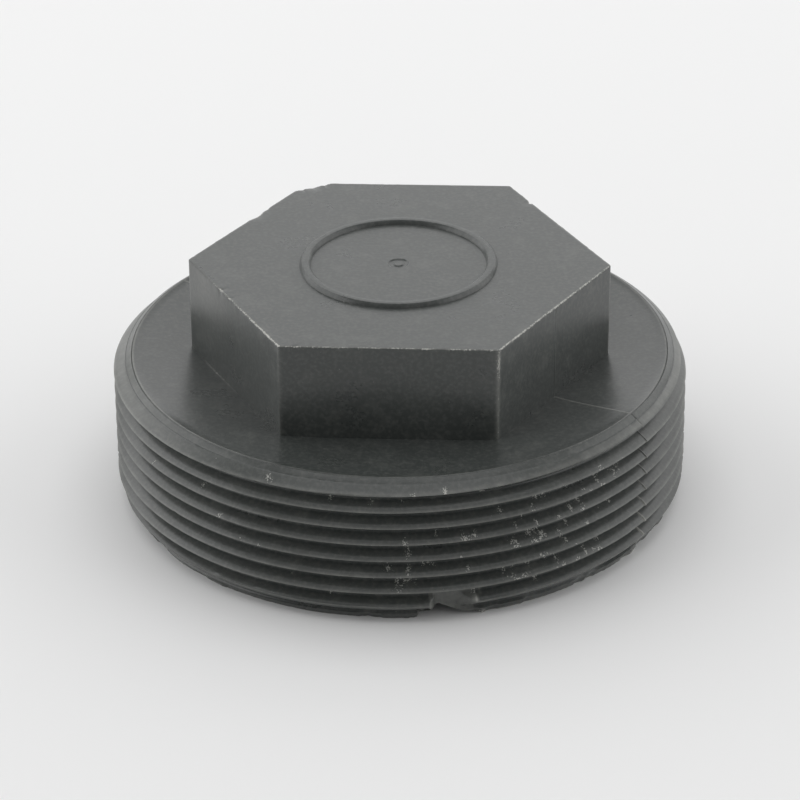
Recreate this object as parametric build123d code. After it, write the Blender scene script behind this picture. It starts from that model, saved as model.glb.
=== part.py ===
"""Dust cap: a one-piece moulded plastic screw plug with a hexagon head, standing on its open end.

Millimetres, +Z up. The origin is on the thread's axis, in the plane of the open end that the cap rests on.
Two corners of the hexagon lie on the X axis.
"""

from build123d import *
from math import ceil, cos, radians, sin, tan
import os

# Thread: right hand, single start, 60 degree form
crest_diameter = 64.5
thread_pitch = 2.0
flank_angle = 30.0
crest_flat = 0.25
thread_depth = 1.23
crest_height_on_x = 0.456  # a crest crosses the +X side at this height, and one pitch higher each turn

# Flange face: a shallow dish with a sharp rim, then a lead-in cone down to the thread
rim_height = 17.14
rim_cone_width = 2.05
rim_cone_drop = 1.43
dish_width = 8.4
dish_depth = 0.76

# Open end: how far the lead-in chamfer takes in the foot, and the skirt's wall behind the thread
foot_chamfer_width = 1.75
foot_chamfer_height = 2.6
skirt_wall = 2.8
mouth_chamfer = 0.5

# Hexagon head
hex_across_flats = 40.8
overall_height = 27.38

# Hollow inside
bore_draft = 0.5
flange_wall = 4.1
head_side_wall = 3.5
head_top_wall = 3.6
core_corner_radius = 2.0

# Broken rear-left corner of the head: how far the break runs along the three edges that met there
break_along_left_edge = 2.7
break_along_rear_edge = 2.9
break_down = 3.8
broken_corner_angle = 120.0

# Chip in the front of the lowest thread ridge, with a notch through the wall below it
chip_from_angle = -80.7
chip_to_angle = -72.0
chip_depth = 1.6
chip_height = 3.5
notch_from_angle = -83.3
notch_peak_angle = -79.9
notch_to_angle = -70.3
notch_height = 1.9
notch_left_height = 1.2

# Sizes that follow from those above
crest_radius = crest_diameter / 2
root_radius = crest_radius - thread_depth
rim_radius = crest_radius - rim_cone_width
cone_foot_height = rim_height - rim_cone_drop
dish_floor_radius = rim_radius - dish_width
dish_floor_height = rim_height - dish_depth
foot_radius = crest_radius - foot_chamfer_width
mouth_radius = root_radius - skirt_wall
flange_underside = dish_floor_height - flange_wall
core_top = overall_height - head_top_wall
core_across_flats = hex_across_flats - 2 * head_side_wall
corner_radius = hex_across_flats / 2 / cos(radians(30))

cut_margin = 1.0  # how far each cutting body runs past the surface it opens
groove_margin = 0.1  # the same for the thread groove, whose neighbouring turns must stay apart


def polygon_face(points, plane=Plane.XZ):
    """A flat face from its corners, in the plane's own coordinates."""
    return plane * make_face(Polyline(*points, close=True))


def blank():
    """The plug before its thread is cut: a turned outline with both chamfers and the dished face."""
    outline = [
        (0, 0),
        (foot_radius, 0),
        (crest_radius, foot_chamfer_height),
        (crest_radius, cone_foot_height),
        (rim_radius, rim_height),
        (dish_floor_radius, dish_floor_height),
        (0, dish_floor_height),
    ]
    return revolve(polygon_face(outline), Axis.Z)


def groove_turn(start):
    """One turn of the V groove between two ridges. Its middle starts on the +X side at the given height."""
    reach = thread_depth + groove_margin
    slope = tan(radians(flank_angle))
    half_mouth = (thread_pitch - crest_flat) / 2 + groove_margin * slope
    half_root = half_mouth - reach * slope
    corners = [
        (root_radius, -half_root),
        (root_radius + reach, -half_mouth),
        (root_radius + reach, half_mouth),
        (root_radius, half_root),
    ]
    edges = [Edge.make_helix(thread_pitch, thread_pitch, radius, (0, 0, start + z)) for radius, z in corners]
    sides = [Face.make_surface_from_curves(edges[i - 1], edges[i]) for i in range(len(edges))]
    ends = [Face(Wire.make_polygon([edge @ end for edge in edges], close=True)) for end in (0, 1)]
    return Solid(Shell(sides + ends))


def thread_groove():
    """The groove's turns, from below the foot to above the rim, so that it runs out through both chamfers."""
    first_turn = groove_turn(crest_height_on_x - 1.5 * thread_pitch)
    turns = ceil(rim_height / thread_pitch) + 2
    return [Pos(0, 0, i * thread_pitch) * first_turn for i in range(turns)]


def break_plane():
    """The sloping plane along which the head's rear-left corner split off, facing outward."""
    turn = radians(broken_corner_angle)
    corner = Vector(corner_radius * cos(turn), corner_radius * sin(turn), overall_height)
    along_left_edge = Vector(cos(turn + radians(120)), sin(turn + radians(120)))
    along_rear_edge = Vector(cos(turn - radians(120)), sin(turn - radians(120)))
    on_left_edge = corner + along_left_edge * break_along_left_edge
    on_rear_edge = corner + along_rear_edge * break_along_rear_edge
    foot_of_break = corner - Vector(0, 0, break_down)
    across = on_rear_edge - on_left_edge
    return Plane(origin=foot_of_break, x_dir=across, z_dir=across.cross(foot_of_break - on_left_edge))


def head():
    """The hexagon, solid as yet, standing on the flange face, without its broken corner."""
    base = Plane.XY.offset(flange_underside)
    hexagon = base * RegularPolygon(corner_radius, 6)
    block = extrude(hexagon, overall_height - flange_underside)
    return split(block, bisect_by=break_plane(), keep=Keep.BOTTOM)


def hollow():
    """The space inside: a drafted round bore under the flange and a hexagonal core up into the head."""
    lean = flange_underside * tan(radians(bore_draft))
    outline = [
        (0, -cut_margin),
        (mouth_radius + mouth_chamfer + cut_margin, -cut_margin),
        (mouth_radius, mouth_chamfer),
        (mouth_radius - lean, flange_underside),
        (0, flange_underside),
    ]
    bore = revolve(polygon_face(outline), Axis.Z)
    core_plane = Plane.XY.offset(flange_underside - cut_margin)
    core_radius = core_across_flats / 2 / cos(radians(30))
    hexagon = RegularPolygon(core_radius, 6)
    rounded = fillet(hexagon.vertices(), core_corner_radius)
    core = extrude(core_plane * rounded, core_top - flange_underside + cut_margin, taper=bore_draft)
    return bore + core


def ring_sector(inner, outer, from_angle, to_angle, height):
    """A block between two radii and two angles, standing on the cap's foot."""
    sector = [
        (0, 0),
        (2 * outer * cos(radians(from_angle)), 2 * outer * sin(radians(from_angle))),
        (2 * outer * cos(radians(to_angle)), 2 * outer * sin(radians(to_angle))),
    ]
    base = Plane.XY.offset(-cut_margin)
    wedge = extrude(polygon_face(sector, base), height + cut_margin)
    ring = extrude(base * (Circle(outer) - Circle(inner)), height + cut_margin)
    return wedge & ring


def notch():
    """The four-cornered hole that the break leaves through the wall, down to the foot."""
    middle = (notch_from_angle + notch_to_angle) / 2
    outward = Vector(cos(radians(middle)), sin(radians(middle)))
    along_wall = Vector(-outward.Y, outward.X)
    inside = Plane(origin=outward * (mouth_radius - cut_margin), x_dir=along_wall, z_dir=outward)

    def across(angle):
        return foot_radius * radians(angle - middle)

    outline = [
        (across(notch_from_angle), -cut_margin),
        (across(notch_from_angle), notch_left_height),
        (across(notch_peak_angle), notch_height),
        (across(notch_to_angle), 0),
        (across(notch_to_angle), -cut_margin),
    ]
    return extrude(polygon_face(outline, inside), crest_radius - mouth_radius + 2 * cut_margin)


def chip():
    """The break in the lowest ridge together with the notch under it."""
    floor_radius = crest_radius - chip_depth
    outer_radius = crest_radius + cut_margin
    return ring_sector(floor_radius, outer_radius, chip_from_angle, chip_to_angle, chip_height) + notch()


def dust_cap():
    """The finished cap as one solid."""
    return blank() - thread_groove() + head() - hollow() - chip()


os.makedirs("parts", exist_ok=True)
export_step(dust_cap(), "parts/dust_cap.step")
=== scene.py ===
"""Dust cap: a grey plastic screw plug with a hexagon head, lightly worn, standing on a pale studio floor."""

import random
from math import atan, atan2, ceil, cos, degrees, exp, radians, sin, sqrt, tan

import bpy
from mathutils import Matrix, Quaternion, Vector, noise


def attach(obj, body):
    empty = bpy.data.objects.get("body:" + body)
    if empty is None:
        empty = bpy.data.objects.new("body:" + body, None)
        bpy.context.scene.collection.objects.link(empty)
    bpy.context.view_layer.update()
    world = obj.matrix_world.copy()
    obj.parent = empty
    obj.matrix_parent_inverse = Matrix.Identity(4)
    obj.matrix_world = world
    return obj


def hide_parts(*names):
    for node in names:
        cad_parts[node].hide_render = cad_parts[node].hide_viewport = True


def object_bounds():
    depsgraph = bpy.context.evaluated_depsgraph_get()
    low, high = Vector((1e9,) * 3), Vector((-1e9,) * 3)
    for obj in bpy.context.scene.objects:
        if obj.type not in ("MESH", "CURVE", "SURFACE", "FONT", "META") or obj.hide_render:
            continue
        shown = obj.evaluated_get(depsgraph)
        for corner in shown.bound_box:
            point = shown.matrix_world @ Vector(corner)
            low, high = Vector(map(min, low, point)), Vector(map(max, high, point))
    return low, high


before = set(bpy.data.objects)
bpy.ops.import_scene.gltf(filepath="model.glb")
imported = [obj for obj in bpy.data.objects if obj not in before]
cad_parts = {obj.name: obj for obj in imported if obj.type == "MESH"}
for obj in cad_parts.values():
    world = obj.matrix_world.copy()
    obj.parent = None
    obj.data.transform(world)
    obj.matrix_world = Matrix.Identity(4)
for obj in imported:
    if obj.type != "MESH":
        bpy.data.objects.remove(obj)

cad_low, cad_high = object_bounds()
MM = 0.001

# The moulding's sizes in millimetres, as in the frame. Two come from the frame's own box.
CREST_RADIUS = cad_high.x / MM
OVERALL_HEIGHT = cad_high.z / MM
THREAD_PITCH = 2.0
THREAD_DEPTH = 1.23
CREST_FLAT = 0.25
FLANK_ANGLE = 30.0
CREST_HEIGHT_ON_X = 0.456
RIM_HEIGHT = 17.14
RIM_CONE_WIDTH = 2.05
RIM_CONE_DROP = 1.43
DISH_WIDTH = 8.4
DISH_DEPTH = 0.76
FOOT_CHAMFER_WIDTH = 1.75
FOOT_CHAMFER_HEIGHT = 2.6
SKIRT_WALL = 2.8
MOUTH_CHAMFER = 0.5
HEX_ACROSS_FLATS = 40.8
FLANGE_WALL = 4.1
HEAD_SIDE_WALL = 3.5
HEAD_TOP_WALL = 3.6
CORE_CORNER_RADIUS = 2.0
BORE_DRAFT = 0.5

RIM_RADIUS = CREST_RADIUS - RIM_CONE_WIDTH
ROOT_RADIUS = CREST_RADIUS - THREAD_DEPTH
FOOT_RADIUS = CREST_RADIUS - FOOT_CHAMFER_WIDTH
MOUTH_RADIUS = ROOT_RADIUS - SKIRT_WALL
CONE_SLOPE = RIM_CONE_DROP / RIM_CONE_WIDTH
DISH_FLOOR_HEIGHT = RIM_HEIGHT - DISH_DEPTH
UNDERSIDE = DISH_FLOOR_HEIGHT - FLANGE_WALL
CORE_TOP = OVERALL_HEIGHT - HEAD_TOP_WALL
HEX_APOTHEM = HEX_ACROSS_FLATS / 2
CORE_APOTHEM = HEX_APOTHEM - HEAD_SIDE_WALL
HEX_CORNER = HEX_APOTHEM / cos(radians(30))

# All angles are in degrees, counter-clockwise from +X. The skin's first column stands at the seam, in the
# middle of the rear.
SEAM_ANGLE = 90.0

# The mould's halves meet at the parting angle and opposite it. The right half sits a little proud, and a thin
# flash of plastic stands along the line, with a fine gap in its place on the cone.
PARTING_ANGLE = 330.0
HALF_PROUD = 0.07
FLASH_HEIGHT = 0.03
THREAD_FLASH_HEIGHT = 0.1
FLASH_WIDTH = 0.22
FLASH_GAP = 0.1

# The witness line round the rim, where the mould's face plate met its thread ring: a lip just inside the rim,
# a crease beside it, and a second, ragged crease on the cone where the ring ended. It is worn faint in front.
LIP_INSET = 0.11
LIP_HEIGHT = 0.05
LIP_WIDTH = 0.1
CREASE_WIDTH = 0.14
CREASE_DEPTH = 0.07
CONE_CREASE_OUT = 0.64
CONE_CREASE_DEPTH = 0.05
LINE_WORN_AT = 283
LINE_WORN_WIDTH = 45
LINE_WORN_SHARE = 0.64

# Each crest is worn to an edge. Above that edge it is worn away by this much inward for each millimetre up.
CREST_WEAR = 1.2
RIDGE_WEAR = 0.02
RIDGE_HALF_WIDTH = 0.4
NICK_DEPTH = 0.35

# Break at the front of the foot: the outline of the notch through the wall, as angles and heights, and the
# chip in the lowest ridge. The chip slopes in from its left. Its right is a long slope up to the step's
# height, and above that a steep leaning wall that goes only part of the full depth.
NOTCH_OUTLINE = (
    (276.5, 0.0),
    (277.0, 1.1),
    (278.9, 1.25),
    (280.9, 1.7),
    (284.3, 0.75),
    (289.4, 0.1),
    (289.7, 0.0),
)
CHIP_SLOPE_FROM = 278.6
CHIP_FROM = 280.2
CHIP_TO = 288.1
CHIP_DEPTH = 1.6
CHIP_TOP = 3.5
CHIP_STEP_HEIGHT = 2.7
CHIP_LOW_SLOPE = 3.4
CHIP_WALL_LEAN = 1.2
CHIP_WALL_WIDTH = 0.5
CHIP_WALL_SHARE = 0.6

# Pale bruises on that break's edges: angle, height, half height, strength
CHIP_EDGES = (
    (277.0, 0.6, 0.5, 0.3),
    (279.1, 1.9, 0.6, 0.3),
    (288.1, 2.4, 0.25, 0.9),
    (289.1, 3.3, 0.5, 0.25),
    (289.8, 0.3, 0.3, 0.5),
)

# Where small teeth of flash stand out from the foot's edge, or nicks go in: angle, half width, how far out
FOOT_TEETH = (
    (266.7, 0.5, -0.2),
    (274.4, 0.5, 0.15),
    (289.8, 1.0, 0.3),
    (313.8, 0.6, 0.25),
    (328.6, 1.2, 0.25),
    (331.6, 0.6, -0.2),
    (335.0, 0.8, 0.2),
    (342.3, 0.8, 0.25),
)

# The corner missing at the rear left of the head: how far the break runs along the three edges that met there
BROKEN_CORNER_ANGLE = 120.0
BREAK_ALONG_LEFT = 2.7
BREAK_ALONG_REAR = 2.9
BREAK_DOWN = 3.8
BREAK_ROUGHNESS = 0.16

# How round the head's edges are, how far its top edge wanders, and how far its top corners stand from a true
# hexagon's, in X and Y
HEAD_EDGE_RADIUS = 0.12
HEAD_CORNER_RADIUS = 0.25
EDGE_WAVE = 0.05
CORNER_SHIFTS = {
    0: (0.1, 0.4),
    60: (0.0, 0.1),
    120: (0.0, 0.0),
    180: (0.0, 0.15),
    240: (0.0, 0.15),
    300: (0.15, 0.15),
}

# Dents knocked into the top edge of the head: angle, width along the edge in degrees, depth
EDGE_DENTS = (
    (145.5, 3.0, 0.12),
    (140.3, 0.8, 0.06),
    (48.1, 0.5, 0.2),
    (200.9, 0.9, 0.1),
    (207.5, 0.5, 0.05),
    (244.0, 0.5, 0.08),
    (262.0, 0.5, 0.04),
    (281.0, 0.7, 0.04),
)
DENT_REACH = 0.5

# How pale each edge of the head is scuffed: the top edge from one corner to the next, then the upright edges
TOP_EDGE_SCUFF = {
    0: (0.3, 0.2),
    60: (0.2, 0.2),
    120: (0.2, 0.2),
    180: (0.1, 0.75),
    240: (0.4, 0.4),
    300: (0.65, 0.5),
}
SIDE_EDGE_SCUFF = {0: 0.4, 60: 0.2, 120: 0.25, 180: 0.2, 240: 0.25, 300: 0.75}
SIDE_EDGE_WIDTH = 0.6

# The raised ring on top, with the gate's mark in its middle. A profile gives shares of the width or radius,
# and of the height or depth.
RING_RADIUS = 10.4
RING_WIDTH = 1.3
RING_HEIGHT = 0.5
RING_PROFILE = ((0.0, 0.0), (0.1, 0.6), (0.25, 0.94), (0.5, 1.0), (0.75, 0.94), (0.9, 0.6), (1.0, 0.0))
GATE_RADIUS = 1.1
GATE_DEPTH = 0.12
GATE_PROFILE = ((3.0, 0.0), (1.1, 0.0), (0.95, 1.0), (0.6, 1.0), (0.45, 0.0))

# Where the thread's ridges are knocked and chafed pale: angle, height, spread of each, number of marks
CHAFED_PLACES = (
    (286.2, 10.2, 1.1, 0.3, 8),
    (280.0, 10.9, 0.2, 0.3, 1),
    (274.6, 9.0, 0.5, 0.6, 7),
    (270.5, 6.9, 0.5, 0.6, 5),
    (278.4, 6.9, 1.1, 0.4, 8),
    (274.7, 7.0, 0.3, 0.6, 3),
    (273.9, 4.7, 1.8, 0.4, 10),
    (295.8, 8.4, 0.7, 0.3, 5),
    (300.7, 8.7, 1.3, 0.7, 16),
    (289.4, 15.1, 0.4, 0.2, 3),
    (273.5, 14.7, 0.1, 0.1, 1),
    (287.4, 13.4, 0.1, 0.3, 1),
    (290.8, 13.3, 0.1, 0.1, 1),
    (295.2, 5.2, 2.0, 0.3, 7),
    (299.7, 5.1, 0.6, 0.2, 3),
    (303.5, 5.5, 0.2, 0.6, 3),
    (301.6, 13.0, 3.5, 0.5, 12),
    (259.8, 14.7, 0.3, 0.2, 2),
    (267.8, 14.6, 0.5, 0.1, 2),
    (276.0, 15.7, 0.2, 0.2, 1),
    (281.4, 16.2, 1.2, 0.1, 2),
    (246.5, 16.2, 3.0, 0.1, 3),
    (321.4, 13.5, 1.5, 0.7, 18),
    (315.8, 13.0, 0.8, 1.6, 16),
    (312.0, 10.4, 1.0, 0.9, 12),
    (307.4, 9.4, 1.1, 0.5, 10),
    (306.3, 7.6, 0.3, 0.3, 2),
    (312.7, 5.4, 0.4, 1.0, 5),
    (329.2, 1.0, 0.4, 0.8, 3),
    (241.5, 3.2, 1.6, 0.6, 4),
    (225.5, 4.2, 1.5, 1.6, 3),
    (300.0, 8.0, 30.0, 5.0, 34),
    (306.0, 9.0, 14.0, 5.0, 45),
    (240.0, 8.0, 30.0, 5.0, 14),
    (90.0, 8.0, 80.0, 5.0, 50),
)
CHAFE_SEED = 41
MARK_HALF_LENGTH = (0.2, 0.45)
MARK_HALF_WIDTH = (0.2, 0.4)
MARK_STRENGTH = (0.38, 0.7)

# A mark shows this many degrees to either side of its middle.
MARK_REACH = 2

# Spacing of the skin's columns, in degrees: in front, behind, and within reach of the broken corner. Extra
# columns stand at corners, breaks and parting lines, and plain ones keep some room from them.
FRONT_FROM = 176
FRONT_TO = 366
FRONT_STEP = 0.62
REAR_STEP = 1.2
BREAK_STEP = 0.42
BREAK_REACH = 9
COLUMN_ROOM = 0.2
CORNER_COLUMNS = (-1.0, -0.62, -0.36, -0.12, 0.12, 0.36, 0.62, 1.0)
CHIP_SLOPE_COLUMNS = (0.0, 0.5, 1.1)
CHIP_WALL_COLUMNS = (-0.3, 0.0, 0.35, 0.7, 1.05)

# Rows of the thread, as distances up from the middle of a ridge. Rows nearer than the snap to the foot or the
# rim end there.
ROW_PHASES = (-1.165, -1.05, -0.94, -0.83, -0.71, -0.35, -0.12, 0.0, 0.06, 0.13, 0.22, 0.34, 0.46, 0.58, 0.7)
ROW_SNAP = 0.03

# Rings of the flange face, from the rim inward, and rings of the head: up its sides as shares of their
# height, and inward on its top as shares of the hexagon
DISH_INSETS = (0.36, 1.2, 3.0, 5.2, 7.2)
HEAD_CLEARANCE = 0.5
FLANGE_CORNER_ROOM = 0.25
FLANGE_CORNER_GAP = 0.02
SIDE_SHARES = (0.0, 0.15, 0.35, 0.55, 0.66, 0.75, 0.83, 0.9, 0.95, 0.98)
TOP_SHARES = (0.965, 0.93, 0.88, 0.8, 0.7)

# Edges that turn by more than this, in degrees, are shaded sharp.
SHARP_ANGLE = 30

# Widths of the plastic's patterns. The grain that a blasted mould leaves is under 0.1 mm wide, too fine to
# show in the render, so it is drawn coarser.
MOTTLE_SIZE = 7.0
HAZE_SIZE = 2.2
GRAIN_SIZE = 0.45
GRAIN_DEPTH = 0.03
FLECK_SIZE = 0.17


def wobble(x, y=0.0, z=0.0):
    """Smooth seeded noise from -1 to 1."""
    return noise.noise(Vector((x, y, z)))


def bump(distance, width):
    """A smooth hump, 1 in its middle and nothing a few widths away."""
    return exp(-(distance / width) ** 2)


def apart(angle, other):
    """How far an angle is past another, from -180 to 180."""
    return (angle - other + 180) % 360 - 180


def polar(point):
    """A point's distance from the axis and its angle."""
    return point.xy.length, degrees(atan2(point.y, point.x)) % 360


def hexagon_radius(angle, apothem, corner):
    """Distance from the axis to a hexagon with rounded corners, two of them on the X axis, at an angle."""
    from_face = abs((angle % 60) - 30)
    tangent_at = atan((apothem - corner) * tan(radians(30)) / apothem)
    if radians(from_face) <= tangent_at:
        return apothem / cos(radians(from_face))
    centre = (apothem - corner) / cos(radians(30))
    from_corner = radians(30 - from_face)
    return centre * cos(from_corner) + sqrt(corner ** 2 - (centre * sin(from_corner)) ** 2)


def special_columns():
    """Angles of the extra columns, which follow corners, breaks and parting lines."""
    special = [corner + offset for corner in range(120, 480, 60) for offset in CORNER_COLUMNS]
    for middle in (PARTING_ANGLE, PARTING_ANGLE - 180):
        special += [middle + offset * FLASH_WIDTH for offset in (-2, -1, 0, 1, 2)]
    special += [angle for angle, _ in NOTCH_OUTLINE]
    special += [CHIP_SLOPE_FROM + offset for offset in CHIP_SLOPE_COLUMNS] + [CHIP_FROM]
    special += [CHIP_TO + offset for offset in CHIP_WALL_COLUMNS]
    return special


def column_angles():
    """Where the skin's columns stand, round from the seam."""
    special = special_columns()
    angles = []
    angle = SEAM_ANGLE
    while angle < SEAM_ANGLE + 360:
        if angle == SEAM_ANGLE or all(abs(angle - other) > COLUMN_ROOM for other in special):
            angles.append(angle)
        if FRONT_FROM < angle < FRONT_TO:
            angle += FRONT_STEP
        elif abs(angle - BROKEN_CORNER_ANGLE) < BREAK_REACH:
            angle += BREAK_STEP
        else:
            angle += REAR_STEP
    return sorted(angles + special)


def on_right_half(angle):
    """Whether an angle is on the half that sits proud."""
    return (angle - PARTING_ANGLE) % 360 < 180


def from_parting(angle):
    """Distance in degrees to the nearer of the two parting lines."""
    return abs((angle - PARTING_ANGLE + 90) % 180 - 90)


def on_flash(angle):
    """Whether a column runs along one of the two parting lines."""
    return from_parting(angle) < FLASH_WIDTH / 2


def flash_at(angle):
    """Height of the flash on the head and the flange."""
    return FLASH_HEIGHT if on_flash(angle) else 0.0


def flash_gap(angle):
    """Depth of the gap on the cone."""
    return FLASH_GAP if on_flash(angle) else 0.0


def flash_paleness(angle):
    """How pale the flash is, and the columns beside it half as much."""
    if from_parting(angle) > 1.1 * FLASH_WIDTH:
        return 0.0
    return 0.1 if on_flash(angle) else 0.05


def chafe_marks():
    """Seeded pale marks on the thread, sorted by whole degree. A mark is an angle, a height, half a length,
    half a width, and a strength."""
    draw = random.Random(CHAFE_SEED)
    marks = {}
    for angle, height, angle_spread, height_spread, count in CHAFED_PLACES:
        for _ in range(count):
            at = angle + angle_spread * draw.uniform(-1, 1)
            level = height + height_spread * draw.uniform(-1, 1)
            half_length = draw.uniform(*MARK_HALF_LENGTH)
            half_width = draw.uniform(*MARK_HALF_WIDTH)
            mark = (at, level, half_length, half_width, draw.uniform(*MARK_STRENGTH))
            for degree in range(-MARK_REACH, MARK_REACH + 1):
                marks.setdefault((round(at) + degree) % 360, []).append(mark)
    return marks


MARKS = chafe_marks()


def chafe(angle, height):
    """How strongly a point of the thread is chafed, from 0 to 1."""
    strength = 0.0
    for at, level, half_length, half_width, amount in MARKS.get(round(angle) % 360, ()):
        along = apart(angle, at) * radians(1) * CREST_RADIUS / half_length
        across = (height - level) / half_width
        strength = max(strength, amount * exp(-along ** 2 - across ** 2))
    return strength


def notch_height(angle):
    """How far the foot is broken away upwards at an angle."""
    for (a0, z0), (a1, z1) in zip(NOTCH_OUTLINE, NOTCH_OUTLINE[1:]):
        if a0 <= angle <= a1:
            return z0 + (z1 - z0) * (angle - a0) / (a1 - a0)
    return 0.0


def foot_flash(angle):
    """How far a tooth of flash stands out from the foot."""
    return sum(out * bump(apart(angle, at), width) for at, width, out in FOOT_TEETH)


def foot_radius(angle):
    """The foot's ragged outline: smooth waves, teeth, and a few steps where thin flash has broken off."""
    step = round(2.2 * wobble(angle * 0.11, 4.0)) * 0.14
    waves = 0.16 * wobble(angle * 0.12, 7.0)
    ragged = 0.07 * wobble(angle * 0.9, 2.0)
    return FOOT_RADIUS + 0.12 + step + foot_flash(angle) + waves + ragged


def ridge_nick(angle, height):
    """How far a ridge is knocked back here, in scattered small nicks."""
    return NICK_DEPTH * max(0.0, wobble(angle * 1.1, height * 0.6, 3.0) - 0.42)


def thread_depth_at(phase):
    """How far the thread's surface lies inside the crests. phase is the distance up from a crest's middle.
    The crest's flat is worn to an edge in its middle, and the groove's bottom is round."""
    slope = tan(radians(FLANK_ANGLE))
    if phase < -THREAD_DEPTH * slope:
        half_root = (THREAD_PITCH - CREST_FLAT / 2) / 2 - THREAD_DEPTH * slope
        from_middle = phase + (THREAD_PITCH - CREST_FLAT / 2) / 2
        return THREAD_DEPTH + (half_root ** 2 - from_middle ** 2) / (2 * half_root * slope)
    return min(max(-phase / slope, (phase - CREST_FLAT / 2) / slope, CREST_WEAR * phase), THREAD_DEPTH)


def chip_share(angle, height):
    """How much of the chip's full depth is broken away, from 0 to 1."""
    left = (angle - CHIP_SLOPE_FROM) / (CHIP_FROM - CHIP_SLOPE_FROM)
    right = (CHIP_TO - angle) / CHIP_LOW_SLOPE
    above = height - CHIP_STEP_HEIGHT
    if above > 0:
        wall = (CHIP_TO + CHIP_WALL_LEAN * above - angle) / CHIP_WALL_WIDTH
        right = max(right, min(wall, CHIP_WALL_SHARE))
    return min(max(min(left, right), 0.0), 1.0)


def ridge_rub(angle, height, phase):
    """The pale line that rubbing leaves along each ridge."""
    line = 0.22 + 0.12 * wobble(angle * 0.25, height * 0.5) + 0.06 * wobble(angle * 1.7, height)
    dust = 0.035 if phase > 0.1 else 0.0
    return max(line * (1 - abs(phase) / 0.25), dust)


def side_chalk_and_sheen(angle, height):
    """The top of the thread is paler on the cap's left and a little on its right: partly chalk, and partly
    a painted reflection of the light that glances off the sides.
    """
    left = bump(apart(angle, 188), 24)
    right = bump(apart(angle, 345), 30)
    ragged = 1 + 0.5 * wobble(angle * 0.5, height)
    return (0.16 * left + 0.05 * right) * bump(height - RIM_HEIGHT, 2.2) * ragged


def cone_rub_and_sheen(angle, height, phase, inside):
    """How pale the cone is: chalk and a painted reflection on the cap's left, less on its right, and a worn
    line where the top ridge ends on it. inside is how far the cone lies inside the thread here."""
    worn_edge = max(0.0, 0.16 + 0.14 * wobble(angle * 0.5, 17.0)) * max(0.0, 1 - inside / 1.4)
    rub_and_sheen = 0.01 + 3.0 * side_chalk_and_sheen(angle, height)
    return rub_and_sheen + worn_edge * max(0.0, 1 - abs(phase) / 0.25)


def break_edge_rub(angle, height):
    """How pale the bruised edges of the front break are."""
    return sum(
        strength * bump(angle - at, 0.3) * bump(height - level, half_height)
        for at, level, half_height, strength in CHIP_EDGES
    )


def thread_radius(angle, height, phase, scuff):
    """Radius of the thread with its wear and nicks, the proud half and the flash."""
    on_ridge = max(0.0, 1 - abs(phase) / RIDGE_HALF_WIDTH)
    radius = CREST_RADIUS - thread_depth_at(phase)
    radius -= on_ridge * (RIDGE_WEAR + ridge_nick(angle, height) + 0.1 * scuff)
    if on_right_half(angle):
        radius += HALF_PROUD * cos(radians(angle - PARTING_ANGLE))
    if on_flash(angle):
        radius += THREAD_FLASH_HEIGHT
    return radius


def skirt_point(angle, height, phase):
    """Radius, scuff, and rub with painted highlights and reflections of the skirt's outside, with its thread,
    both chamfers, wear and the chip.
    """
    scuff = chafe(angle, height) + 2.0 * foot_flash(angle) * bump(height, 0.8)
    radius = thread_radius(angle, height, phase, scuff)
    cone = RIM_RADIUS + (RIM_HEIGHT - height) / CONE_SLOPE
    foot = foot_radius(angle) + height * (CREST_RADIUS - foot_radius(angle)) / FOOT_CHAMFER_HEIGHT
    if cone < radius:
        rub_and_sheen = cone_rub_and_sheen(angle, height, phase, radius - cone)
        cone -= flash_gap(angle)
    else:
        # The ridges near the top are paler at the sides: partly chalk, partly a painted reflection.
        rub_and_sheen = ridge_rub(angle, height, phase) + side_chalk_and_sheen(angle, height)
        # Painted highlight: the flash on the lower ridges is painted pale where its face catches the light.
        rub_and_sheen += 7 * flash_paleness(angle) * bump(height, 8.5)
    # Painted highlight along the cone's edge where the groove runs out, on the cap's right.
    right_edge_highlight = 0.2 * bump(cone - radius, 0.1) * bump(apart(angle, 10), 60)
    rub_and_sheen += right_edge_highlight
    radius = min(radius, cone, foot)
    share = chip_share(angle, height)
    if share > 0 and height < CHIP_TOP:
        floor = CREST_RADIUS - CHIP_DEPTH * share + 0.1 * share * wobble(angle * 0.8, height * 0.9, 5.0)
        radius = min(radius, floor)
        rub_and_sheen = 0.13 + 0.06 * wobble(angle * 1.5, height * 2.0, 8.0)
    return radius, scuff, rub_and_sheen + break_edge_rub(angle, height)


def dish_height(radius):
    """The dished flange face: flat near the head, then rising to the rim."""
    return DISH_FLOOR_HEIGHT + DISH_DEPTH * max(0.0, 1 - (RIM_RADIUS - radius) / DISH_WIDTH)


def break_frame():
    """A point on the head's rear-left break and the direction that the break faces."""
    turn = radians(BROKEN_CORNER_ANGLE)
    corner = Vector((HEX_CORNER * cos(turn), HEX_CORNER * sin(turn), OVERALL_HEIGHT))
    left = Vector((cos(turn + radians(120)), sin(turn + radians(120)), 0)) * BREAK_ALONG_LEFT
    rear = Vector((cos(turn - radians(120)), sin(turn - radians(120)), 0)) * BREAK_ALONG_REAR
    down = Vector((0, 0, -BREAK_DOWN))
    facing = (rear - left).cross(down - left).normalized()
    if facing.z < 0:
        facing = -facing
    return corner + down, facing


BREAK_POINT, BREAK_FACING = break_frame()


def beyond_break(point):
    """How far a point of the head stands out past the rough face of the rear-left break."""
    rough = 0.75 * wobble(point.x * 0.9, point.y * 0.9, point.z * 0.9) + 0.25 * wobble(*(point * 2.7))
    return (point - BREAK_POINT).dot(BREAK_FACING) + BREAK_ROUGHNESS * rough


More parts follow.
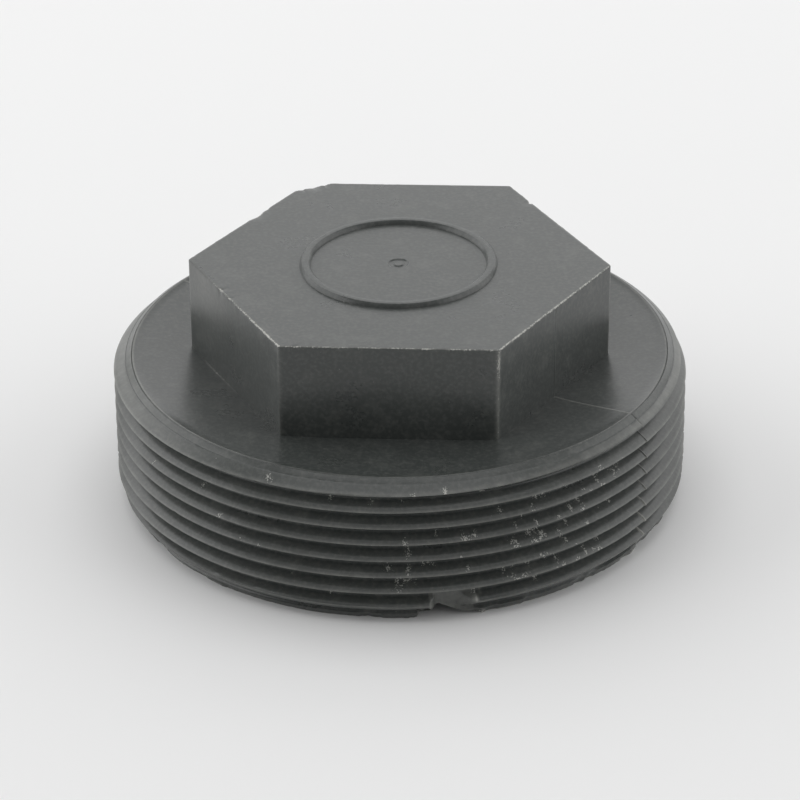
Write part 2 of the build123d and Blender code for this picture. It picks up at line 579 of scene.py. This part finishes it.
def corner_shift(angle):
    """How far the head's top stands from a true hexagon's at an angle, between its two nearest corners."""
    before = int(angle // 60) * 60 % 360
    (x0, y0), (x1, y1) = CORNER_SHIFTS[before], CORNER_SHIFTS[(before + 60) % 360]
    share = (angle % 60) / 60
    return Vector((x0 + (x1 - x0) * share, y0 + (y1 - y0) * share, 0))


def edge_dent(angle):
    """How deep the head's top edge is dented."""
    named = sum(depth * bump(apart(angle, at), width) for at, width, depth in EDGE_DENTS)
    return named + 0.05 * max(0.0, wobble(angle * 1.3, 9.0) - 0.2)


def edge_wave(angle):
    """How far the head's top edge wanders in and out."""
    return EDGE_WAVE * (wobble(angle * 0.35, 5.0) + 0.5 * wobble(angle * 1.2, 6.0))


def top_edge_scuff(angle):
    """How pale the head's top edge is, more so at its dents."""
    start, end = TOP_EDGE_SCUFF[int(angle // 60) * 60 % 360]
    ragged = 0.95 + 0.5 * wobble(angle * 0.31, 1.0) + 0.4 * wobble(angle * 1.43, 2.0)
    return (start + (end - start) * (angle % 60) / 60) * ragged + 4 * edge_dent(angle)


def side_edge_scuff(angle, height):
    """How pale the head's upright edges are, most of all near the top."""
    corner = round(angle / 60) * 60
    ragged = 0.7 + 0.5 * wobble(corner, height * 0.8) + 0.3 * wobble(corner, height * 2.9)
    ragged *= 0.4 + 0.9 * bump(height - OVERALL_HEIGHT, 3)
    return SIDE_EDGE_SCUFF[corner % 360] * ragged * bump(angle - corner, SIDE_EDGE_WIDTH)


def side_sheen_and_wear(angle, height):
    """A painted reflection on the head's upper left, the faint line down each upright edge, and the flash."""
    # Painted reflection: the head's left side is painted paler near its top, where it mirrors the lit floor.
    pale_wash = 0.1 * bump(angle - 190, 14) * bump(height - OVERALL_HEIGHT, 6)
    corner = round(angle / 60) * 60
    line = 0.25 * SIDE_EDGE_SCUFF[corner % 360] * bump(angle - corner, SIDE_EDGE_WIDTH)
    return pale_wash + line + 0.5 * flash_paleness(angle)


class Skin:
    """A closed skin of columns, each running from the middle of the inside to the middle of the top."""

    def __init__(self, angles):
        self.angles = angles
        self.columns = [[] for _ in angles]
        self.points = []
        self.scuffs = []
        self.rubs_and_sheens = []

    def add(self, angle, radius, height, scuff=0.0, rub_and_sheen=0.0):
        self.points.append(Vector((radius * cos(radians(angle)), radius * sin(radians(angle)), height)))
        self.scuffs.append(scuff)
        self.rubs_and_sheens.append(rub_and_sheen)
        return len(self.points) - 1

    def ring(self, place):
        """One more point on every column. place gives its radius and height, and its scuff, and its rub and
        painted sheen, if any.
        """
        for angle, column in zip(self.angles, self.columns):
            column.append(self.add(angle, *place(angle)))


def inside_rings(skin):
    """The hollow, from the core's ceiling down to the mouth."""
    lean = tan(radians(BORE_DRAFT))
    top_apothem = CORE_APOTHEM - lean * (CORE_TOP - UNDERSIDE)
    for share in (0.4, 0.8, 1.0):
        skin.ring(lambda a: (share * hexagon_radius(a, top_apothem, CORE_CORNER_RADIUS), CORE_TOP))
    for share in (0.3, 0.7, 1.0):
        height = CORE_TOP + share * (UNDERSIDE - CORE_TOP)
        apothem = CORE_APOTHEM - lean * (height - UNDERSIDE)
        skin.ring(lambda a: (hexagon_radius(a, apothem, CORE_CORNER_RADIUS), height))
    bore_top = MOUTH_RADIUS - lean * UNDERSIDE
    for share in (0.5, 1.0):
        skin.ring(lambda a: (core_radius(a) + share * (bore_top - core_radius(a)), UNDERSIDE))
    for height in (0.65 * UNDERSIDE, 0.3 * UNDERSIDE):
        skin.ring(lambda a: (MOUTH_RADIUS - lean * height, height))
    skin.ring(lambda a: (MOUTH_RADIUS, max(MOUTH_CHAMFER, notch_height(a))))
    skin.ring(lambda a: (MOUTH_RADIUS + MOUTH_CHAMFER, notch_height(a)))


def core_radius(angle):
    """The core's hexagon where it opens into the bore."""
    return hexagon_radius(angle, CORE_APOTHEM, CORE_CORNER_RADIUS)


def skirt_rows(skin):
    """The outside of the skirt. Its rows follow the thread, and stop at the foot and at the cone's crease."""
    turns = ceil(RIM_HEIGHT / THREAD_PITCH) + 3
    cone_end = RIM_RADIUS + CONE_CREASE_OUT + CREASE_WIDTH / 2
    top = cone_height(cone_end)
    for angle, column in zip(skin.angles, skin.columns):
        low = notch_height(angle)
        radius, scuff, rub_and_sheen = skirt_point(angle, low, 0.0)
        foot = skin.add(angle, radius, low, scuff, rub_and_sheen)
        rim = skin.add(angle, cone_end, top)
        for row in range(turns * len(ROW_PHASES)):
            turn, step = divmod(row, len(ROW_PHASES))
            phase = ROW_PHASES[step]
            height = CREST_HEIGHT_ON_X + THREAD_PITCH * (angle / 360 + turn - 2) + phase
            if height < low + ROW_SNAP:
                column.append(foot)
            elif height > top - ROW_SNAP:
                column.append(rim)
            else:
                radius, scuff, rub_and_sheen = skirt_point(angle, height, phase)
                column.append(skin.add(angle, radius, height, scuff, rub_and_sheen))


def cone_height(radius):
    """Height of the cone under the rim."""
    return RIM_HEIGHT - (radius - RIM_RADIUS) * CONE_SLOPE


def line_left(angle):
    """How much of the witness line is left."""
    return 1 - LINE_WORN_SHARE * bump(apart(angle, LINE_WORN_AT), LINE_WORN_WIDTH)


def cone_crease(angle):
    """Depth of the ragged crease on the cone."""
    ragged = 1 + 0.5 * wobble(angle * 0.4, 15.0) + 0.5 * wobble(angle * 2.1, 16.0)
    return CONE_CREASE_DEPTH * ragged * line_left(angle)


def lip_highlight(angle):
    """A painted highlight on the lip, most of all on the cap's left."""
    left = bump(apart(angle, 190), 25)
    line = 0.14 * (line_left(angle) + left)
    return line + 0.08 * wobble(angle * 0.3, 12.0) + 0.05 * wobble(angle * 1.9, 13.0)


def base_highlight(angle):
    """A painted highlight: a pale line in the corner between the head's front-left side and the flange."""
    return max(0.0, 0.25 + 0.2 * wobble(angle * 0.6, 14.0)) * bump(angle - 197, 9)


def cone_point(angle, radius):
    """Place, chalk and painted reflection of a point on the cone, between its creases."""
    return radius, cone_height(radius) - flash_gap(angle), 0.0, 0.01 + 0.6 * side_chalk_and_sheen(angle, RIM_HEIGHT)


def dish_point(angle, radius, corner=0.0, flash=2.5):
    """Place and wear of a point on the dished face. corner is how pale the painted highlight beside the head
    is, laid on as scuff and rub, and flash is a factor on how pale the flash is."""
    return radius, dish_height(radius) + flash_at(angle), 0.6 * corner, corner + flash * flash_paleness(angle)


def flange_rings(skin):
    """The top of the cone with its crease, the rim's crease and lip, then the dished face in to the head."""
    second = RIM_RADIUS + CONE_CREASE_OUT
    skin.ring(lambda a: (second, cone_height(second) - cone_crease(a)))
    skin.ring(lambda a: cone_point(a, second - CREASE_WIDTH / 2))
    lip_edge = RIM_RADIUS - LIP_INSET
    outer_edge = lip_edge + CREASE_WIDTH
    skin.ring(lambda a: cone_point(a, outer_edge))
    skin.ring(lambda a: (outer_edge - CREASE_WIDTH / 2, RIM_HEIGHT - CREASE_DEPTH * line_left(a)))
    # The lip carries a painted highlight.
    for radius in (lip_edge, lip_edge - LIP_WIDTH):
        skin.ring(lambda a: (radius, RIM_HEIGHT + LIP_HEIGHT * line_left(a), 0.0, lip_highlight(a)))
    for inset in DISH_INSETS:
        skin.ring(lambda a: dish_point(a, max(RIM_RADIUS - inset, head_radius(a) + HEAD_CLEARANCE)))
    skin.ring(lambda a: dish_point(a, head_radius(a) + FLANGE_CORNER_ROOM))
    # The innermost ring carries the painted highlight along the foot of the head.
    skin.ring(lambda a: dish_point(a, head_radius(a) + FLANGE_CORNER_GAP, base_highlight(a), 5))


def head_radius(angle):
    """The head's hexagon, with the flash along the parting lines."""
    return hexagon_radius(angle, HEX_APOTHEM, HEAD_CORNER_RADIUS) + flash_at(angle)


def side_point(angle, height):
    """Place, wear and painted reflection of a point on the head's side, which starts on the dished face."""
    level = max(height, dish_height(head_radius(angle)))
    return head_radius(angle), level, side_edge_scuff(angle, height), side_sheen_and_wear(angle, height)


def head_rings(skin):
    """The head's sides, its rounded top edge, and its top with the ring and the gate's mark."""
    start = len(skin.points)
    side_top = OVERALL_HEIGHT - HEAD_EDGE_RADIUS
    for share in SIDE_SHARES:
        height = DISH_FLOOR_HEIGHT + share * (side_top - DISH_FLOOR_HEIGHT)
        skin.ring(lambda a: side_point(a, height))
    skin.ring(lambda a: (head_radius(a), side_top, 0.6 * top_edge_scuff(a), side_sheen_and_wear(a, side_top)))
    for turn in (45, 90):
        inset = HEAD_EDGE_RADIUS * (1 - cos(radians(turn)))
        height = OVERALL_HEIGHT - HEAD_EDGE_RADIUS * (1 - sin(radians(turn)))
        skin.ring(lambda a: (head_radius(a) - inset, height, top_edge_scuff(a), 0.4 * top_edge_scuff(a)))
    skin.ring(lambda a: (head_radius(a) - 0.3, OVERALL_HEIGHT, 0.3 * top_edge_scuff(a) - 0.08))
    for share in TOP_SHARES:
        skin.ring(lambda a: (share * head_radius(a), OVERALL_HEIGHT))
    for inset, rise in RING_PROFILE:
        radius = RING_RADIUS + RING_WIDTH * (0.5 - inset)
        skin.ring(lambda a: (radius, OVERALL_HEIGHT + rise * RING_HEIGHT))
    for share, sink in GATE_PROFILE:
        skin.ring(lambda a: (share * GATE_RADIUS, OVERALL_HEIGHT - sink * GATE_DEPTH))
    for index in range(start, len(skin.points)):
        wear_head_point(skin, index)


def wear_head_point(skin, index):
    """Wear one point of the head, and bring it back onto the rear-left break's face if it lies beyond it."""
    moved = settle(skin.points[index])
    beyond = beyond_break(moved)
    if beyond > 0:
        moved -= BREAK_FACING * beyond
        skin.scuffs[index] = 0.0
        skin.rubs_and_sheens[index] = 0.1 + 0.08 * wobble(*(moved * 1.6))
    skin.points[index] = moved


def settle(point):
    """Move a point of the head by the corner shifts and by the wear and dents of the top edge."""
    radius, angle = polar(point)
    share_up = (point.z - DISH_FLOOR_HEIGHT) / (OVERALL_HEIGHT - DISH_FLOOR_HEIGHT)
    outward = radius / head_radius(angle)
    moved = point + corner_shift(angle) * min(share_up, 1.0) * outward ** 4
    from_edge = max(OVERALL_HEIGHT - point.z, 0.0) + max(head_radius(angle) - radius, 0.0)
    near_edge = bump(from_edge, DENT_REACH)
    moved += Vector((cos(radians(angle)), sin(radians(angle)), 0)) * edge_wave(angle) * near_edge
    inward = Vector((point.x / max(radius, 1.0), point.y / max(radius, 1.0), 1.0))
    return moved - inward * edge_dent(angle) * near_edge


def skin_faces(skin, thread_from, thread_to):
    """Quads and triangles between neighbouring columns. Over the seam the thread's rows go up by a pitch."""
    faces = []
    pitch = len(ROW_PHASES)
    count = len(skin.columns)
    for i in range(count):
        here, there = skin.columns[i], skin.columns[(i + 1) % count]
        if i == count - 1:
            thread = there[thread_from + pitch:thread_to] + [there[thread_to - 1]] * pitch
            there = there[:thread_from] + thread + there[thread_to:]
        for j in range(len(here) - 1):
            corners = list(dict.fromkeys((here[j], there[j], there[j + 1], here[j + 1])))
            if len(corners) > 2:
                faces.append(corners)
    for row, height in ((0, CORE_TOP), (-1, OVERALL_HEIGHT)):
        middle = skin.add(0, 0, height)
        for i in range(count):
            a, b = skin.columns[i][row], skin.columns[(i + 1) % count][row]
            faces.append([middle, b, a] if row == 0 else [middle, a, b])
    return faces


def build_moulding():
    """The whole moulding as one closed mesh. It carries its scuffs, and its rubbed places with the painted
    highlights and reflections, as point attributes.
    """
    skin = Skin(column_angles())
    inside_rings(skin)
    thread_from = len(skin.columns[0])
    skirt_rows(skin)
    thread_to = len(skin.columns[0])
    flange_rings(skin)
    head_rings(skin)
    faces = skin_faces(skin, thread_from, thread_to)
    mesh = bpy.data.meshes.new("dust_cap_moulding")
    mesh.from_pydata([point * MM for point in skin.points], [], faces)
    for name, values in (("scuff", skin.scuffs), ("rub_and_sheen", skin.rubs_and_sheens)):
        attribute = mesh.attributes.new(name, "FLOAT", "POINT")
        attribute.data.foreach_set("value", [min(max(value, 0.0), 1.0) for value in values])
    mesh.polygons.foreach_set("use_smooth", [True] * len(mesh.polygons))
    mesh.set_sharp_from_angle(angle=radians(SHARP_ANGLE))
    return mesh


def srgb(hex_colour):
    """A linear colour from an sRGB hex value."""
    channels = [int(hex_colour[i:i + 2], 16) / 255 for i in (1, 3, 5)]
    return tuple(c / 12.92 if c <= 0.04045 else ((c + 0.055) / 1.055) ** 2.4 for c in channels) + (1.0,)


def add_node(tree, kind, inputs=None, **settings):
    """One shader node with its settings. An input given as a socket is linked, any other is a plain value."""
    node = tree.nodes.new(kind)
    for name, value in settings.items():
        setattr(node, name, value)
    for name, value in (inputs or {}).items():
        if isinstance(value, bpy.types.NodeSocket):
            tree.links.new(value, node.inputs[name])
        else:
            node.inputs[name].default_value = value
    return node


def pattern_scale(size_in_mm):
    """Noise scale, per metre, at which one patch of the pattern is about this wide."""
    return 1 / (size_in_mm * MM)


def chalk_and_sheen_mask(tree, place, grain):
    """How chalky the plastic is, from 0 to 1: crisp flecks where the mesh is scuffed, lines where it is
    rubbed, the painted highlights and reflections, a faint cloudy haze, and the sparkle of the grain."""
    scuffed = add_node(tree, "ShaderNodeAttribute", attribute_name="scuff")
    rub_and_sheen_input = add_node(tree, "ShaderNodeAttribute", attribute_name="rub_and_sheen")
    speck = add_node(
        tree, "ShaderNodeTexNoise",
        {"Vector": place, "Scale": pattern_scale(FLECK_SIZE), "Detail": 2.0},
    )
    cloud = add_node(
        tree, "ShaderNodeTexNoise",
        {"Vector": place, "Scale": pattern_scale(HAZE_SIZE), "Detail": 5.0},
    )
    dotted = add_node(
        tree, "ShaderNodeMath",
        {0: scuffed.outputs["Fac"], 1: 0.55, 2: speck.outputs["Fac"]},
        operation="MULTIPLY_ADD",
    )
    flecks = add_node(
        tree, "ShaderNodeMapRange",
        {"Value": dotted.outputs[0], "From Min": 0.74, "From Max": 0.85, "To Min": 0.0, "To Max": 0.72},
        interpolation_type="SMOOTHSTEP",
    )
    haze = add_node(
        tree, "ShaderNodeMapRange",
        {"Value": cloud.outputs["Fac"], "From Min": 0.5, "From Max": 0.75, "To Min": 0.008, "To Max": 0.05},
        interpolation_type="SMOOTHSTEP",
    )
    sparkle = add_node(
        tree, "ShaderNodeMapRange",
        {"Value": grain.outputs["Fac"], "From Min": 0.45, "From Max": 0.75, "To Min": 0.0, "To Max": 0.07},
    )
    powdery = add_node(
        tree, "ShaderNodeMath",
        {0: flecks.outputs["Result"], 1: haze.outputs["Result"]},
        operation="ADD",
    )
    pale_wash = add_node(
        tree, "ShaderNodeMath",
        {0: sparkle.outputs["Result"], 1: rub_and_sheen_input.outputs["Fac"]},
        operation="ADD",
    )
    return add_node(
        tree, "ShaderNodeMath",
        {0: powdery.outputs[0], 1: pale_wash.outputs[0]},
        operation="ADD", use_clamp=True,
    )


def moulded_vinyl():
    """Injection-moulded grey PVC: an even satin grey with a faint flow mottle, fine sparkle from the mould's
    blasted face, and chalky pale scuffs on edges where the plastic was bruised. The same pale colour is
    painted on as highlights and reflections along a few edges and sides."""
    material = bpy.data.materials.new("moulded_grey_vinyl")
    material.use_nodes = True
    tree = material.node_tree
    shader = tree.nodes["Principled BSDF"]
    place = add_node(tree, "ShaderNodeTexCoord").outputs["Object"]
    mottle = add_node(
        tree, "ShaderNodeTexNoise",
        {"Vector": place, "Scale": pattern_scale(MOTTLE_SIZE), "Detail": 4.0},
    )
    grain = add_node(
        tree, "ShaderNodeTexNoise",
        {"Vector": place, "Scale": pattern_scale(GRAIN_SIZE), "Detail": 3.0},
    )
    chalk_and_sheen = chalk_and_sheen_mask(tree, place, grain)

    # The mottle shifts the grey a little, and the chalk and painted highlights lie over it.
    grey = add_node(
        tree, "ShaderNodeMix",
        {0: mottle.outputs["Fac"], 6: srgb("#343736"), 7: srgb("#3e4240")},
        data_type="RGBA",
    )
    colour = add_node(
        tree, "ShaderNodeMix",
        {0: chalk_and_sheen.outputs[0], 6: grey.outputs[2], 7: srgb("#b4b4ae")},
        data_type="RGBA",
    )

    # Chalky plastic is duller, and so are the painted highlights.
    satin = add_node(
        tree, "ShaderNodeMapRange",
        {"Value": mottle.outputs["Fac"], "From Min": 0.3, "From Max": 0.7, "To Min": 0.26, "To Max": 0.33},
    )
    roughness = add_node(
        tree, "ShaderNodeMath",
        {0: chalk_and_sheen.outputs[0], 1: 0.3, 2: satin.outputs["Result"]},
        operation="MULTIPLY_ADD",
    )
    relief = add_node(
        tree, "ShaderNodeBump",
        {"Strength": 0.35, "Distance": GRAIN_DEPTH * MM, "Height": grain.outputs["Fac"]},
    )
    tree.links.new(colour.outputs[2], shader.inputs["Base Color"])
    tree.links.new(roughness.outputs[0], shader.inputs["Roughness"])
    tree.links.new(relief.outputs["Normal"], shader.inputs["Normal"])
    shader.inputs["IOR"].default_value = 1.53
    return material


moulding_mesh = build_moulding()
moulding = bpy.data.objects.new("dust_cap_moulding", moulding_mesh)
bpy.context.scene.collection.objects.link(moulding)
moulding_mesh.materials.append(moulded_vinyl())
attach(moulding, "root")
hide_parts("dust_cap")

# The studio. Brightness is radiance, where 1 shows as white, and sizes and places are in metres.
FLOOR_REACH = 3.0
FLOOR_COLOUR = "#ececec"
WORLD_BRIGHTNESS = 0.28
LAMPS = (
    ("overhead_softbox", (0.0, 0.1, 1.0), (1.0, 1.0), 0.93),
    ("rear_softbox", (0.0, 1.0, 0.45), (1.8, 0.9), 0.84),
    ("left_softbox", (-1.0, 0.1, 0.45), (1.6, 1.0), 1.28),
    ("right_softbox", (1.0, 0.1, 0.45), (1.6, 1.0), 0.98),
)


def white_card_floor():
    """Matt white studio card: even, pale and without gloss."""
    corners = [(x * FLOOR_REACH, y * FLOOR_REACH, 0) for x, y in ((-1, -1), (1, -1), (1, 1), (-1, 1))]
    mesh = bpy.data.meshes.new("studio_floor")
    mesh.from_pydata(corners, [], [(0, 1, 2, 3)])
    card = bpy.data.materials.new("matt_white_card")
    card.use_nodes = True
    paint = card.node_tree.nodes["Principled BSDF"]
    paint.inputs["Base Color"].default_value = srgb(FLOOR_COLOUR)
    paint.inputs["Roughness"].default_value = 0.9
    mesh.materials.append(card)
    floor = bpy.data.objects.new("studio_floor", mesh)
    bpy.context.scene.collection.objects.link(floor)


def white_world():
    """Even white light from all round."""
    world = bpy.data.worlds.new("studio")
    bpy.context.scene.world = world
    world.use_nodes = True
    background = world.node_tree.nodes["Background"]
    background.inputs["Color"].default_value = (1, 1, 1, 1)
    background.inputs["Strength"].default_value = WORLD_BRIGHTNESS


def softbox(name, place, size, brightness):
    """A rectangular soft lamp aimed at the cap."""
    lamp = bpy.data.lights.new(name, "AREA")
    lamp.shape = "RECTANGLE"
    lamp.size, lamp.size_y = size
    lamp.energy = 4 * brightness * size[0] * size[1]
    holder = bpy.data.objects.new(name, lamp)
    holder.location = place
    holder.rotation_mode = "QUATERNION"
    holder.rotation_quaternion = (-Vector(place)).to_track_quat("-Z", "Y")
    bpy.context.scene.collection.objects.link(holder)


white_card_floor()
white_world()
for lamp in LAMPS:
    softbox(*lamp)

# Camera, fitted to the photograph. Angles are in degrees, the lens and the sensor in millimetres.
CAMERA_AIM = Vector((0, 0, 0.010))
CAMERA_AZIMUTH = 3.52
CAMERA_ELEVATION = 28.74
CAMERA_ROLL = -0.613
CAMERA_DISTANCE = 0.4347
LENS = 172.1
SENSOR = 36.0


def photo_camera():
    """The camera at the photograph's place, looking at the cap."""
    camera = bpy.data.cameras.new("photo_camera")
    camera.lens = LENS
    camera.sensor_width = SENSOR
    rig = bpy.data.objects.new("photo_camera", camera)
    bpy.context.scene.collection.objects.link(rig)
    azimuth, elevation = radians(CAMERA_AZIMUTH), radians(CAMERA_ELEVATION)
    back = Vector((sin(azimuth) * cos(elevation), -cos(azimuth) * cos(elevation), sin(elevation)))
    rig.location = CAMERA_AIM + back * CAMERA_DISTANCE
    rig.rotation_mode = "QUATERNION"
    roll = Quaternion((0, 0, 1), radians(CAMERA_ROLL))
    rig.rotation_quaternion = (-back).to_track_quat("-Z", "Y") @ roll
    return rig


bpy.context.scene.camera = photo_camera()
bpy.context.scene.view_settings.view_transform = "Standard"
